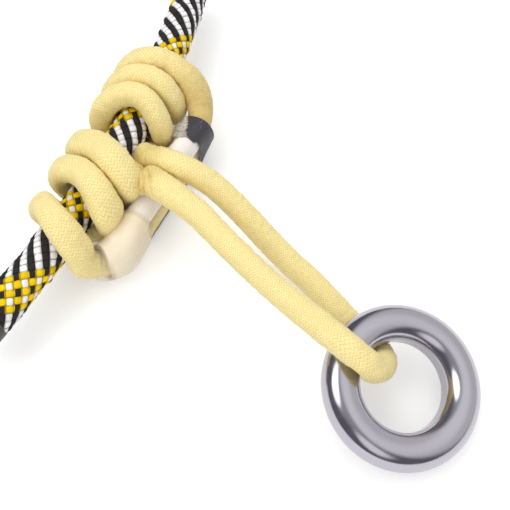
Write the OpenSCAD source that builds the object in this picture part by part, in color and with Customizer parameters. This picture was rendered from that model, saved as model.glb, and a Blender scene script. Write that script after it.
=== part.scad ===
// Friction-hitch ascender: a sewn cord loop tied round a climbing rope, with an aluminium ring in its tail.
// Lengths are in millimetres. Everything is drawn about the middle of the hitch on the rope's axis,
// as [along the rope, out towards the ring, up], and is then set down on the table.

/* [Rope] */
// Diameter of the rope
rope_d = 12.5; // [11:0.1:13.5]
// Radius of the bend that the rope lies in
rope_bend = 370; // [320:5:600]
// Length from the middle of the hitch to the upper end
rope_above = 87; // [84:1:130]
// Length from the middle of the hitch to the lower end
rope_below = 78; // [77:1:130]
// Thickness of the braided sheath
sheath_t = 1.8; // [1.4:0.1:2.2]
// Diameter of the marker thread laid in beside the core
marker_d = 0.7; // [0.4:0.05:0.8]
// Length of the melted seal at each end
seal_l = 7; // [5:0.5:10]
// Chamfer round each seal
seal_chamfer = 0.9; // [0.3:0.1:1.5]

/* [Cord] */
// Diameter of the cord where it is free
cord_d = 8; // [7.6:0.1:8.4]
// Thickness of the cord where it grips the rope
wrap_t = 7.6; // [7:0.1:8]
// Width of the cord in the upper wraps
upper_wrap_w = 7.9; // [7:0.1:8]
// Distance from one upper wrap to the next
upper_pitch = 8.4; // [8.3:0.1:9]
// Width of the cord in the lower wraps
lower_wrap_w = 10.8; // [9:0.1:11]
// Distance from one lower wrap to the next
lower_pitch = 11.5; // [11.3:0.1:12]
// Thickness of the lower wraps where the splice squeezes them
side_t = 5.8; // [5:0.1:6.2]
// Thickness of the cord where it is pinched beside the splice
root_t = 6.2; // [5.6:0.1:6.4]
// Width of the cord where it is pinched beside the splice
root_w = 7.2; // [6.6:0.1:7.4]

/* [Splice] */
// Lean of the splice away from the rope, in degrees
splice_lean = 4.6; // [3:0.1:6]
// Diameter of each cord inside the splice
strand_d = 7.5; // [7:0.1:7.7]
// Length of the clear sleeve
sleeve_l = 35; // [30:0.5:36]
// Wall of the clear sleeve
sleeve_t = 0.5; // [0.3:0.05:0.6]
// Room between the cords and the sleeve
sleeve_room = 0.4; // [0.35:0.05:0.5]
// Length of the dark band at the upper end
band_l = 10.6; // [8:0.2:12]
// Length of the label under the sleeve
label_l = 30; // [16:0.5:32]
// Thickness of the label
label_t = 0.25; // [0.1:0.05:0.25]
// Diameter of the sewing thread
thread_d = 0.8; // [0.5:0.05:0.9]
// Number of stitches on each side
stitch_count = 8; // [5:1:9]

/* [Ring] */
// Clear diameter of the ring's eye
ring_eye_d = 25.8; // [24:0.2:30]
// Diameter of the ring's section
ring_bar_d = 10.9; // [9.5:0.1:11]
// Depth of the flat turned round the eye
eye_flat = 0.35; // [0.1:0.05:0.6]
// Height of the bar's middle where the tail holds it
ring_lift = 16.1; // [15:0.1:18]

/* [Fits] */
// Gap between the wraps and the rope that they slide on
slide_gap = 0.5; // [0.4:0.05:0.7]
// Gap between the wraps and the splice beside them
splice_gap = 0.4; // [0.35:0.05:0.6]
// Gap between the two cords of the splice, and between band and sleeve
seam_gap = 0.4; // [0.3:0.05:0.5]
// Gap between the core strands
core_gap = 0.08; // [0.05:0.01:0.15]
// Gap between the hitch and the swinging tail
swing_gap = 0.45; // [0.35:0.05:0.6]
// Gap between the tail's bight and the ring
bight_gap = 2.25; // [2:0.05:2.5]

/* [Hidden] */

rope_r = rope_d / 2;
cord_r = cord_d / 2;
grip_r = rope_r + slide_gap;
rope_up = grip_r + wrap_t;

// The two cords of the splice lie one above the other, beside the rope
strand_r = strand_d / 2;
sleeve_in_r = strand_r + sleeve_room;
sleeve_out_r = sleeve_in_r + sleeve_t;
lean_room = 1;
splice_out = grip_r + side_t + splice_gap + lean_room + sleeve_out_r;
strand_half = strand_r + seam_gap / 2;
splice_up = sleeve_out_r + strand_half - rope_up;
upper_strand_up = splice_up + strand_half;
lower_strand_up = splice_up - strand_half;
splice_top = 19;
band_low = splice_top - band_l;
sleeve_top = band_low - seam_gap / 2;
sleeve_low = sleeve_top - sleeve_l;

// Wraps: places of the first upper wrap and the last lower wrap on top of the rope
turns = 3;
upper_first = 31.4;
upper_dip = 3;
lower_last = -9.5;
lower_first_gap = 3;
lower_dip = 4;
points_a_turn = 12;
rings_a_point = 2;
cord_sides = 10;

// Roots: the cord squeezes up between the rope and the splice, and then hinges over the splice
hinge_out = splice_out + 0.7;
hinge_up = splice_up + strand_half + sleeve_out_r + cord_r + swing_gap;
hinge_along_upper = -2.7;
hinge_along_lower = -12.4;
root_reach = 4.7;
ring_heading = -21.2;
bight_place = [93.7, -38.3];
bight_side = 6.9;

// Ring: lifted by the tail on its near side, resting on the table on its far side
ring_bar_r = ring_bar_d / 2;
ring_r = ring_eye_d / 2 + ring_bar_r - eye_flat;
ring_tilt = asin((ring_lift - ring_bar_r) / (2 * ring_r));
heading = [cos(ring_heading), sin(ring_heading), 0];
sideways = [-sin(ring_heading), cos(ring_heading), 0];
upright = [0, 0, 1];
bight = [bight_place[0], bight_place[1], ring_lift - rope_up];
ring_middle = bight + ring_r * (cos(ring_tilt) * heading - sin(ring_tilt) * upright);

// The whole part's box, which sets the origin at the middle of its base
upper_turn = turn_of(rope_above - seal_l);
lower_turn = turn_of(rope_below - seal_l);
straight_l = seal_l - seal_chamfer;
low_x = min(
    -rope_up,
    (rope_bend - rope_r) * cos(upper_turn) - straight_l * sin(upper_turn) - rope_bend,
    (rope_bend - rope_r) * cos(lower_turn) - straight_l * sin(lower_turn) - rope_bend
);
high_x = ring_middle[0] + ring_r * sqrt(1 - pow(sin(ring_tilt) * heading[0], 2)) + ring_bar_r;
end_out = rope_bend + rope_r - seal_chamfer;
high_y = end_out * sin(upper_turn) + seal_l * cos(upper_turn);
low_y = -end_out * sin(lower_turn) - seal_l * cos(lower_turn);
set_down = [-(low_x + high_x) / 2, -(low_y + high_y) / 2, rope_up];

// Turn, in degrees, that a length along the rope makes about the middle of its bend
function turn_of(along) = along / rope_bend * 180 / PI;

// Point at a place along the rope, out from its axis and up from it
function rope_point(along, out, up) =
    let (turn = turn_of(along))
    [(rope_bend + out) * cos(turn) - rope_bend, (rope_bend + out) * sin(turn), up];

// Direction of the rope at a place along it
function rope_way(along) = [-sin(turn_of(along)), cos(turn_of(along)), 0];

function unit(v) = v / norm(v);

// Smooth curve through hand-set points, with n steps from each point to the next
function curve_at(a, b, c, d, t) =
    0.5 * (2 * b + (c - a) * t + (2 * a - 5 * b + 4 * c - d) * t * t + (3 * b - a - 3 * c + d) * t * t * t);
function smooth(p, n) = [
    for (i = [0 : len(p) - 2], k = [0 : n - 1])
        curve_at(p[max(i - 1, 0)], p[i], p[i + 1], p[min(i + 2, len(p) - 1)], k / n),
    p[len(p) - 1]
];

// Place on the line of the splice, as [along, out], and the middle of the pinch between it and the rope
function on_splice(along) =
    let (x = splice_out + along * tan(splice_lean) + rope_bend)
    [rope_bend * atan2(along, x) * PI / 180, norm([x, along]) - rope_bend];
function pinch_out(along) = (rope_r + on_splice(along)[1] - sleeve_out_r) / 2;

// Routes of the hitch: [along, out, up, half thickness, half width]
function wrap_point(angle, along, half_t, half_w) =
    [along, (grip_r + half_t) * cos(angle), (grip_r + half_t) * sin(angle), half_t, half_w];
function splice_point(along, up) = concat(on_splice(along), [up, strand_r, strand_r]);
function root_point(along, up) = [along, pinch_out(along), up, root_t / 2, root_w / 2];
function upper_along(angle) =
    upper_first - upper_pitch * (angle - 90) / 360 - upper_dip * pow(max(0, cos(angle)), 2);
function lower_along(angle) =
    let (turn = (angle - 90) / 360)
    lower_last - lower_pitch * (turns - 1 - turn) - lower_first_gap * pow(max(0, 1 - turn), 2)
        - lower_dip * pow(max(0, cos(angle)), 2);
first_angle = 60;
last_angle = 90 + 360 * (turns - 1) + 210;
angle_step = 360 / points_a_turn;

root_angle = -25;
root_half = root_w / 2;
upper_lead = concat(
    [for (along = [sleeve_low + 1, -14, -2, 10, splice_top]) splice_point(along, upper_strand_up)],
    [
        [splice_top + 6, splice_out + 1.5, upper_strand_up + 0.9, cord_r + 0.2, cord_r],
        [splice_top + 10.6, splice_out - 0.3, upper_strand_up + 4, cord_r + 0.2, cord_r],
        [splice_top + 12.8, splice_out - 4.3, upper_strand_up + 7.3, cord_r, cord_r],
        [splice_top + 13, splice_out - 9.1, upper_strand_up + 9.6, cord_r - 0.2, cord_r]
    ]
);
upper_root = [
    wrap_point(root_angle, 5.2, root_t / 2, root_half),
    root_point(3.2, 0.4),
    [3, pinch_out(3) + 0.5, 3.6, root_t / 2, root_half],
    [2.5, pinch_out(3) + 2, 5.5, root_half, root_half],
    [-0.4, hinge_out - root_reach, hinge_up - 0.3, root_half, root_half]
];
lower_lead = concat(
    [for (along = [splice_top - 1, 8, -4, -16, sleeve_low]) splice_point(along, lower_strand_up)],
    [
        [-32.5, splice_out - 1.5, lower_strand_up + 0.2, cord_r - 0.1, cord_r],
        [-37.4, splice_out - 3.9, lower_strand_up + 2.7, cord_r - 0.2, cord_r + 0.4],
        [-40, splice_out - 6.7, lower_strand_up + 7.8, cord_r - 0.3, cord_r + 0.8],
        [-39.6, splice_out - 8.7, lower_strand_up + 14, cord_r - 0.4, cord_r + 1.1]
    ]
);
lower_root = [
    wrap_point(root_angle, -4.8, root_t / 2, root_half),
    root_point(-5.4, 0.4),
    [-5.6, pinch_out(-5) + 0.5, 3.6, root_t / 2, root_half],
    [-6.5, pinch_out(-5) + 2, 5.5, root_half, root_half],
    [-9.8, hinge_out - root_reach, hinge_up - 0.3, root_half, root_half]
];
wrap_angles = [for (angle = [first_angle : angle_step : last_angle]) angle];
function squeezed(angle) = (wrap_t - (wrap_t - side_t) * pow(max(0, cos(angle)), 2)) / 2;
upper_route = smooth(concat(
    upper_lead,
    [for (angle = wrap_angles) wrap_point(angle, upper_along(angle), wrap_t / 2, upper_wrap_w / 2)],
    upper_root
), rings_a_point);
lower_route = smooth(concat(
    lower_lead,
    [for (angle = wrap_angles) wrap_point(angle, lower_along(angle), squeezed(angle), lower_wrap_w / 2)],
    lower_root
), rings_a_point);

// Routes of the tail's legs, as [x, y, height over the table], and its bight round the ring's bar
hinge_upper = rope_point(hinge_along_upper, hinge_out, hinge_up);
hinge_lower = [hinge_upper[0], hinge_along_lower, hinge_up];
upper_leg = [
    [26, -5, 22.4],
    [35, -5.2, 19],
    [42.2, -6.8, 15.5],
    [50, -9.5, 12],
    [58, -12.7, 8.6],
    [66.2, -16.1, 6.2],
    [76, -20.4, 5.1]
];
lower_leg = [
    [80, -40.4, 25],
    [66, -33.8, 22.8],
    [50.4, -26.2, 22],
    [38, -19.7, 22],
    [28.5, -15.8, 22]
];
bight_r = ring_bar_r + cord_r + bight_gap;
bight_turn = [
    for (angle = [-90 : 22.5 : 90])
        bight + bight_r * (cos(angle) * heading + sin(angle) * upright) - bight_side * sin(angle) * sideways
];
function over_table(route) = [for (p = route) p - [0, 0, rope_up]];
tail_route = smooth(concat(
    [hinge_upper], over_table(upper_leg), bight_turn, over_table(lower_leg), [hinge_lower]
), rings_a_point);

// Round caps that let the tail turn in place at its hinge
cap_angles = [80, 55, 28];
tail_start = unit(tail_route[1] - tail_route[0]);
tail_last = len(tail_route) - 1;
tail_end = unit(tail_route[tail_last] - tail_route[tail_last - 1]);
tail_points = concat(
    [for (angle = cap_angles) tail_route[0] - cord_r * sin(angle) * tail_start],
    tail_route,
    [for (k = [2 : -1 : 0]) tail_route[tail_last] + cord_r * sin(cap_angles[k]) * tail_end]
);
tail_radii = concat(
    [for (angle = cap_angles) cord_r * cos(angle)],
    [for (p = tail_route) cord_r],
    [for (k = [2 : -1 : 0]) cord_r * cos(cap_angles[k])]
);

// Direction of a route at one of its points
function way_at(p, i) = unit(p[min(i + 1, len(p) - 1)] - p[max(i - 1, 0)]);

// One ring of points round a route, from its direction, its side and its half sizes
function section(at, way, side, half_t, half_w) =
    let (across = unit(side - (side * way) * way), out = cross(across, way))
    [for (k = [0 : cord_sides - 1])
        let (angle = 360 * k / cord_sides)
        at + out * half_t * cos(angle) + across * half_w * sin(angle)];

// Rings of a hitch cord: its side faces along the rope once it is wound on
function hitch_rings(route, lead_count) =
    let (points = [for (p = route) rope_point(p[0], p[1], p[2])])
    [for (i = [0 : len(route) - 1])
        let (
            p = route[i],
            way = way_at(points, i),
            outward = points[i] - rope_point(p[0], 0, 0),
            side = i < rings_a_point * (lead_count + points_a_turn) ? cross(way, outward) : rope_way(p[0])
        )
        section(points[i], way, side, p[3], p[4])];
function tail_rings(points, radii) = [
    for (i = [0 : len(points) - 1])
        section(points[i], way_at(points, i), sideways, radii[i], radii[i])
];

// Least gap between rings of one cord that are at least half a turn apart
function least_gap(rings) =
    let (apart = points_a_turn * rings_a_point / 2)
    min([
        for (i = [0 : len(rings) - 1 - apart], j = [i + apart : len(rings) - 1])
            for (a = rings[i])
                min([for (b = rings[j]) norm(a - b)])
    ]);

// A closed tube of triangles through the rings
module tube(rings) {
    count = len(rings);
    n = cord_sides;
    walls = [
        for (i = [0 : count - 2], k = [0 : n - 1], half = [0, 1])
            half == 0
                ? [i * n + k, (i + 1) * n + k, (i + 1) * n + (k + 1) % n]
                : [i * n + k, (i + 1) * n + (k + 1) % n, i * n + (k + 1) % n]
    ];
    first_cap = [for (k = [1 : n - 2]) [0, k, k + 1]];
    last_cap = [for (k = [1 : n - 2]) [(count - 1) * n, (count - 1) * n + k + 1, (count - 1) * n + k]];
    polyhedron([for (ring = rings, p = ring) p], concat(walls, first_cap, last_cap));
}

// Sweeps a flat shape, drawn as [out, up] from the rope's axis, along the rope's bend
module along_rope(from, to) {
    translate([-rope_bend, 0, 0])
        rotate([0, 0, turn_of(from)])
            rotate_extrude(angle = turn_of(to - from), $fn = 720)
                translate([rope_bend, 0])
                    children();
}

// Runs a flat shape, drawn as [out, up] from the splice's line, along the splice
module along_splice(from, to) {
    translate([splice_out, 0, 0])
        rotate([0, 0, -splice_lean])
            translate([0, to, 0])
                rotate([90, 0, 0])
                    linear_extrude(to - from)
                        children();
}

// Oval round both cords of the splice
module splice_oval(r) {
    translate([0, splice_up]) {
        for (end = [-1, 1])
            translate([0, end * strand_half]) circle(r, $fn = 48);
        square([2 * r, 2 * strand_half], center = true);
    }
}

// Wall round the splice between two distances from its cords
module splice_wall(inner, outer) {
    difference() {
        splice_oval(outer);
        splice_oval(inner);
    }
}

// Part of the rope's core, at a distance and an angle from its axis
module core_strand(d, rho, angle) {
    along_rope(seal_l - rope_below, rope_above - seal_l)
        translate([rho * cos(angle), rho * sin(angle)]) circle(d = d, $fn = 24);
}

core_bore_r = rope_r - sheath_t;
core_d = (2 * core_bore_r - 4 * core_gap) / 3;
core_rho = core_d + core_gap;
marker_rho = core_bore_r - core_gap - marker_d / 2;

module rope_sheath() {
    color("dimgray") translate(set_down)
        along_rope(seal_l - rope_below, rope_above - seal_l)
            difference() {
                circle(rope_r, $fn = 48);
                circle(core_bore_r, $fn = 48);
            }
}

module rope_core_centre() {
    color("white") translate(set_down) core_strand(core_d, 0, 0);
}

module rope_core_outer(k) {
    color("white") translate(set_down) core_strand(core_d, core_rho, 60 * k);
}

module rope_marker_thread() {
    color("red") translate(set_down) core_strand(marker_d, marker_rho, 30);
}

// Melted end of the rope: a true cylinder with a chamfer at its tip
module rope_seal(turn, lie) {
    color("dimgray") translate(set_down)
        translate(rope_point(turn / turn_of(1), 0, 0))
            rotate([lie, 0, turn]) {
                cylinder(r = rope_r, h = straight_l, $fn = 96);
                translate([0, 0, straight_l])
                    cylinder(r1 = rope_r, r2 = rope_r - seal_chamfer, h = seal_chamfer, $fn = 96);
            }
}

module rope_upper_seal() {
    rope_seal(upper_turn, -90);
}

module rope_lower_seal() {
    rope_seal(-lower_turn, 90);
}

module upper_wraps() {
    rings = hitch_rings(upper_route, len(upper_lead));
    echo(upper_wraps_least_gap = least_gap(rings));
    color("khaki") translate(set_down) tube(rings);
}

module lower_wraps() {
    rings = hitch_rings(lower_route, len(lower_lead));
    echo(lower_wraps_least_gap = least_gap(rings));
    color("khaki") translate(set_down) tube(rings);
}

// Bar stitches in the groove between the two cords, on both sides
stitch_out = strand_r - thread_d / 2;
stitch_h = 2 * (strand_half - sqrt(pow(strand_r, 2) - pow(stitch_out - thread_d / 2, 2))) - 0.1;
stitch_inset = 2;
stitch_pitch = (sleeve_l - 2 * stitch_inset) / (stitch_count - 1);

module splice_stitching() {
    color("gold") translate(set_down)
        translate([splice_out, 0, splice_up])
            rotate([0, 0, -splice_lean])
                for (k = [0 : stitch_count - 1], side = [-1, 1])
                    translate([side * stitch_out, sleeve_low + stitch_inset + k * stitch_pitch, 0])
                        cylinder(d = thread_d, h = stitch_h, center = true, $fn = 24);
}

// Label on the upper face of the splice, under the sleeve
label_out_r = sleeve_in_r - 0.05;
label_end = 0.5;
label_side = 1;
backing_side = 1.3;

module splice_label() {
    color("white") translate(set_down)
        along_splice(sleeve_top - label_end - label_l, sleeve_top - label_end)
            intersection() {
                splice_wall(label_out_r - label_t, label_out_r);
                translate([-label_side, splice_up - label_side]) square(2 * sleeve_out_r + strand_d);
            }
}

// Dark strip down the outer face of the splice, below the label
module splice_backing() {
    color("black") translate(set_down)
        along_splice(sleeve_low + label_end, sleeve_top - label_end)
            intersection() {
                splice_wall(label_out_r - label_t, label_out_r);
                translate([label_side, splice_up - backing_side - 2 * strand_d]) square(2 * strand_d);
            }
}

module splice_sleeve() {
    color("aliceblue", 0.4) translate(set_down)
        along_splice(sleeve_low, sleeve_top) splice_wall(sleeve_in_r, sleeve_out_r);
}

module splice_end_band() {
    color("black") translate(set_down)
        along_splice(band_low + seam_gap / 2, splice_top)
            splice_wall(strand_r + seam_gap / 2, sleeve_out_r);
}

module tail_loop() {
    color("khaki") translate(set_down) tube(tail_rings(tail_points, tail_radii));
}

module ring() {
    color("lightsteelblue") translate(set_down)
        translate(ring_middle) rotate([0, ring_tilt, ring_heading])
            rotate_extrude($fn = 144)
                difference() {
                    translate([ring_r, 0]) circle(ring_bar_r, $fn = 72);
                    translate([0, -ring_bar_r]) square([ring_eye_d / 2, ring_bar_d]);
                }
}

rope_sheath();
rope_core_centre();
rope_core_outer(0);  // rope_core_1
rope_core_outer(1);  // rope_core_2
rope_core_outer(2);  // rope_core_3
rope_core_outer(3);  // rope_core_4
rope_core_outer(4);  // rope_core_5
rope_core_outer(5);  // rope_core_6
rope_marker_thread();
rope_upper_seal();
rope_lower_seal();
upper_wraps();
lower_wraps();
splice_stitching();
splice_label();
splice_backing();
splice_sleeve();
splice_end_band();
tail_loop();
ring();
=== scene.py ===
import math

import bpy
import numpy as np
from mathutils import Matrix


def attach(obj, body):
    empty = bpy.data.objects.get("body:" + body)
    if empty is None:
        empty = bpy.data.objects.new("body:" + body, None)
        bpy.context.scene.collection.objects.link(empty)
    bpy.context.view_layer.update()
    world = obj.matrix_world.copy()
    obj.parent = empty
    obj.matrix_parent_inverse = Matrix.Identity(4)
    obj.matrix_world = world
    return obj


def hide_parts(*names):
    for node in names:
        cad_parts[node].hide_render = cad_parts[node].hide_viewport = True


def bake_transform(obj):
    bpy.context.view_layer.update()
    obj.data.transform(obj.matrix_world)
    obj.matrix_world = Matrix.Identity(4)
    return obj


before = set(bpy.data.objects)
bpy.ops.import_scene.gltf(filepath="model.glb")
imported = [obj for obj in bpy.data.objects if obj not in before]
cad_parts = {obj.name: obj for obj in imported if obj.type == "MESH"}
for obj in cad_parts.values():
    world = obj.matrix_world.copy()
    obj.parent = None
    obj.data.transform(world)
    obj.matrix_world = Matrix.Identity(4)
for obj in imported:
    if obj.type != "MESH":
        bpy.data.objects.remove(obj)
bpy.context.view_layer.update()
scene = bpy.context.scene
scene.view_settings.view_transform = "Standard"
bpy.ops.object.select_all(action="DESELECT")

# Camera: looks down on the hitch from the side of its ring,
# with a normal lens, as for a catalogue picture.
CAMERA_PLACE = (0.03999, -0.13225, 0.21149)
CAMERA_TILT, CAMERA_TURN = math.radians(30), math.radians(21.44)
LENS, SENSOR_WIDTH = 52.94, 36
bpy.ops.object.camera_add(location=CAMERA_PLACE, rotation=(CAMERA_TILT, 0, CAMERA_TURN))
scene.camera = bpy.context.object
scene.camera.data.lens = LENS
scene.camera.data.sensor_width = SENSOR_WIDTH

# Rope sheath: a plain braid of twelve strands each way, black and white by turns,
# with five yellow ones side by side. It is woven over the core and lies in a wide bend,
# and under the upper wraps the hitch has twisted it by half a turn.

# SET_DOWN is the rope's middle in the part's frame, and ROWS_BELOW keeps the numbers of its rows above 0.
# Each twist is in degrees, with the stretch along the rope that takes it up
SET_DOWN = np.array([-0.0582272, -0.00445299, 0.01435])
ROPE_BEND = 0.370
ROPE_R = 0.00625
SHEATH_LOW, SHEATH_HIGH = -0.071, 0.080
ROPE_STRANDS, ROPE_FINE, ROPE_OVER = 12, 8, 1
ROPE_ROW = 0.00337
ROPE_PROUD, ROPE_RELIEF = 0.0001, 0.00055
ROWS_BELOW = 960
STRAND_SHIFT = 0.69
ROPE_TWISTS = ((36, -0.043, -0.033), (-29, -0.019, -0.009), (-191, 0.013, 0.041))
BLACK = (0.026, 0.0225, 0.0225)
WHITE = (0.94, 0.93, 0.94)
YELLOW = (0.96, 0.65, 0.003)
FIRST_YELLOW, LAST_YELLOW = 6, 10
DULLEST_STRAND, STRAND_TINTS = 0.9, 0.2

# How unevenly a braid is woven, and how round its strands are
LOOSENESS, WANDER, LUMPS = 0.35, 0.07, 0.30
WANDER_WIDTH, LUMP_WIDTH, CALM_ENDS = 1.2, 0.9, 8
STRAND_ROUND, FLOAT_ROUND, FLOAT_DIP = 2.6, 2.2, 0.7
STRAND_WIDTH, SEAM_FROM = 0.72, 0.37
FIBRE_SHIFT = (0.31, 0.7)


def rope_point(along, out, up):
    """Place beside the rope's bent axis, in the part's frame."""
    turn = np.asarray(along) / ROPE_BEND
    reach = ROPE_BEND + np.asarray(out)
    point = [reach * np.cos(turn) - ROPE_BEND, reach * np.sin(turn), np.asarray(up) + 0 * turn]
    return np.stack(point, -1) + SET_DOWN


def unit(vectors):
    """The same directions, each of length 1."""
    return vectors / np.linalg.norm(vectors, axis=-1, keepdims=True)


def ease(x, low, high):
    """Smooth step from 0 at low to 1 at high."""
    t = np.clip((np.asarray(x) - low) / (high - low), 0, 1)
    return t * t * (3 - 2 * t)


def uneven(rows, columns, blur, seed):
    """Smooth random bumps over a grid that closes on itself, about as wide as the blur."""
    spread = (np.fft.fftfreq(rows)[:, None] * blur) ** 2 + (np.fft.fftfreq(columns)[None] * blur) ** 2
    bumps = np.fft.fft2(np.random.default_rng(abs(seed)).normal(size=(rows, columns)))
    bumps = np.fft.ifft2(bumps * np.exp(-2 * np.pi ** 2 * spread)).real
    return bumps / bumps.std()


def mesh_piece(name, points, faces):
    """A new piece from an array of points and a list of faces."""
    mesh = bpy.data.meshes.new(name)
    mesh.from_pydata(points.reshape(-1, 3).tolist(), [], faces)
    piece = bpy.data.objects.new(name, mesh)
    scene.collection.objects.link(piece)
    return piece


def braided_tube(name, line, normal, cross, reach, twist, strands, fine, over, relief, first_row, paint):
    """A tube of strands woven both ways round a line. Each strand passes over as many others as over says.
    reach gives the outer radius for directions from the line, and paint the colour of a strand's float."""
    rings, around = len(line), strands * fine
    column = np.arange(around)
    row = first_row + np.arange(rings)
    inside = ease(np.minimum(row - row[0], row[-1] - row), 0, CALM_ENDS * fine)[:, None]
    wander = WANDER * inside * uneven(rings, around, WANDER_WIDTH * fine, first_row)
    angle = 2 * np.pi * (column[None] / fine + row[:, None] / (2 * fine) + wander) / strands - twist[:, None]
    ways = np.cos(angle)[..., None] * normal[:, None] + np.sin(angle)[..., None] * cross[:, None]

    def weave(a, b, sub_a, sub_b):
        """The two strands at a place on the braid, whether the first is on top, the place on the upper one,
        and a share from 0 to 1 that differs from float to float."""
        i, j = a // fine, b // fine
        u, v = (a - i * fine + sub_a) / fine, (b - j * fine + sub_b) / fine
        phase = (i + j) % (2 * over)
        top = phase < over
        across = np.where(top, u, v)
        along = np.where(top, phase + v, phase - over + u)
        repeat = (i + j) // (2 * over)
        number = np.where(top, i % strands + 17 * repeat, 41 * j + 7 * repeat)
        chance = np.modf(np.abs(np.sin(number * 12.9898 + top * 4.1) * 43758.5453))[0]
        return i, j, top, across, along, chance

    _, _, _, across, along, chance = weave(column[None], column[None] + row[:, None], 0, 0)
    rise = 1 - np.abs(2 * across - 1) ** STRAND_ROUND
    rise = rise * (1 - FLOAT_DIP * np.abs(2 * along / over - 1) ** FLOAT_ROUND)
    rise = rise * (1 - LOOSENESS * chance)
    lumps = LUMPS * inside * uneven(rings, around, LUMP_WIDTH * fine, first_row + 1)
    co = line[:, None] + ways * (reach(ways) + relief[:, None] * (rise + lumps - 1))[..., None]
    rise = 1 - (1 - rise) * (relief / relief.max())[:, None]

    # Each face is a small diamond, with its sides along the strands
    a, k = np.meshgrid(column, np.arange(1, rings - 1))
    a, k = a.ravel(), k.ravel()
    beside = (a + 1) % around
    here, below, above = k * around, (k - 1) * around, (k + 1) * around
    quads = np.stack([here + a, below + beside, here + beside, above + a], 1)
    next_column = (column + 1) % around
    last = (rings - 1) * around
    first_tris = np.stack([column, next_column, around + column], 1)
    last_tris = np.stack([last + column, last - around + next_column, last + next_column], 1)
    caps = [column[::-1].tolist(), (last + column).tolist()]
    faces = quads.tolist() + first_tris.tolist() + last_tris.tolist() + caps
    piece = mesh_piece(name, co, faces)
    mesh = piece.data
    mesh.polygons.foreach_set("use_smooth", np.ones(len(faces), bool))
    mesh.attributes.new("rise", "FLOAT", "POINT").data.foreach_set("value", rise.ravel().astype(np.float32))

    # Each corner of a face has its strand's colour, and its place across and along the fibres
    corner_a, corner_b = np.array([0, 1, 1, 0]), np.array([0, 0, 1, 1])
    base_b = a + first_row + k
    i, j, top, across, along, chance = weave(a[:, None], base_b[:, None], corner_a[None], corner_b[None])
    size = 2 * np.pi * np.median(reach(ways[:1])) / strands * STRAND_WIDTH
    fibre = np.stack([across * size + chance * FIBRE_SHIFT[0], along * size + chance * FIBRE_SHIFT[1]], -1)
    beside_seam = np.abs(across.mean(1, keepdims=True) - 0.5) > SEAM_FROM
    colour = paint(i % strands, j % strands, top, beside_seam, chance, k[:, None])
    colour = np.broadcast_to(colour, across.shape + (4,)).reshape(-1, 4)
    corners = len(mesh.loops)
    uv = np.zeros((corners, 2), np.float32)
    uv[: quads.size] = fibre.reshape(-1, 2)
    shade = np.tile(colour.mean(0).astype(np.float32), (corners, 1))
    shade[: quads.size] = colour
    mesh.uv_layers.new(name="fibre").data.foreach_set("uv", uv.ravel())
    mesh.color_attributes.new("strand", "FLOAT_COLOR", "CORNER").data.foreach_set("color", shade.ravel())
    return piece


def rope_colours(i, j, top, beside_seam, chance, ring):
    """Black or white by the strand, or yellow where one of the fuller yellow strands lies on top."""
    yellow = (~top | beside_seam) & (j >= FIRST_YELLOW) & (j <= LAST_YELLOW)
    black = i % 2 == 0
    rgb = np.where(black[..., None], BLACK, WHITE)
    rgb = np.where(yellow[..., None], YELLOW, rgb)
    rgb = rgb * (DULLEST_STRAND + STRAND_TINTS * chance[..., None])
    return np.concatenate([rgb, np.ones(rgb.shape[:-1] + (1,))], -1)


rope_step = ROPE_ROW / (2 * ROPE_FINE)
rope_rings = int((SHEATH_HIGH - SHEATH_LOW) / rope_step)
rope_along = np.linspace(SHEATH_LOW, SHEATH_HIGH, rope_rings)
rope_first = int(round(SHEATH_LOW / rope_step)) + ROWS_BELOW
rope_line = rope_point(rope_along, 0 * rope_along, 0)
rope_out = unit(rope_point(rope_along, ROPE_R, 0) - rope_line)
rope_up = np.tile([0.0, 0.0, 1.0], (rope_rings, 1))
rope_twist = 360 / ROPE_STRANDS * STRAND_SHIFT
for turn, low, high in ROPE_TWISTS:
    rope_twist = rope_twist + turn * ease(rope_along, low, high)
rope = braided_tube(
    "rope_braid", rope_line, rope_out, rope_up, lambda ways: np.full(ways.shape[:2], ROPE_R + ROPE_PROUD),
    np.radians(rope_twist), ROPE_STRANDS, ROPE_FINE, ROPE_OVER, np.full(rope_rings, ROPE_RELIEF), rope_first,
    rope_colours,
)


def node(tree, kind, **values):
    """One shader node, with its settings and the values of its inputs."""
    made = tree.nodes.new("ShaderNode" + kind)
    for key, value in values.items():
        if hasattr(made, key):
            setattr(made, key, value)
        else:
            made.inputs[key.replace("_", " ")].default_value = value
    return made


def new_material(name, **values):
    """A material with a Principled shader, given by its socket values."""
    material = bpy.data.materials.new(name)
    material.use_nodes = True
    shader = material.node_tree.nodes["Principled BSDF"]
    for key, value in values.items():
        shader.inputs[key.replace("_", " ")].default_value = value
    return material, material.node_tree, shader


def raise_by(tree, shader, height, strength, distance):
    """Bumps the surface by the height that a socket gives."""
    bump = node(tree, "Bump", Strength=strength, Distance=distance)
    tree.links.new(height, bump.inputs["Height"])
    tree.links.new(bump.outputs["Normal"], shader.inputs["Normal"])


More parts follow.
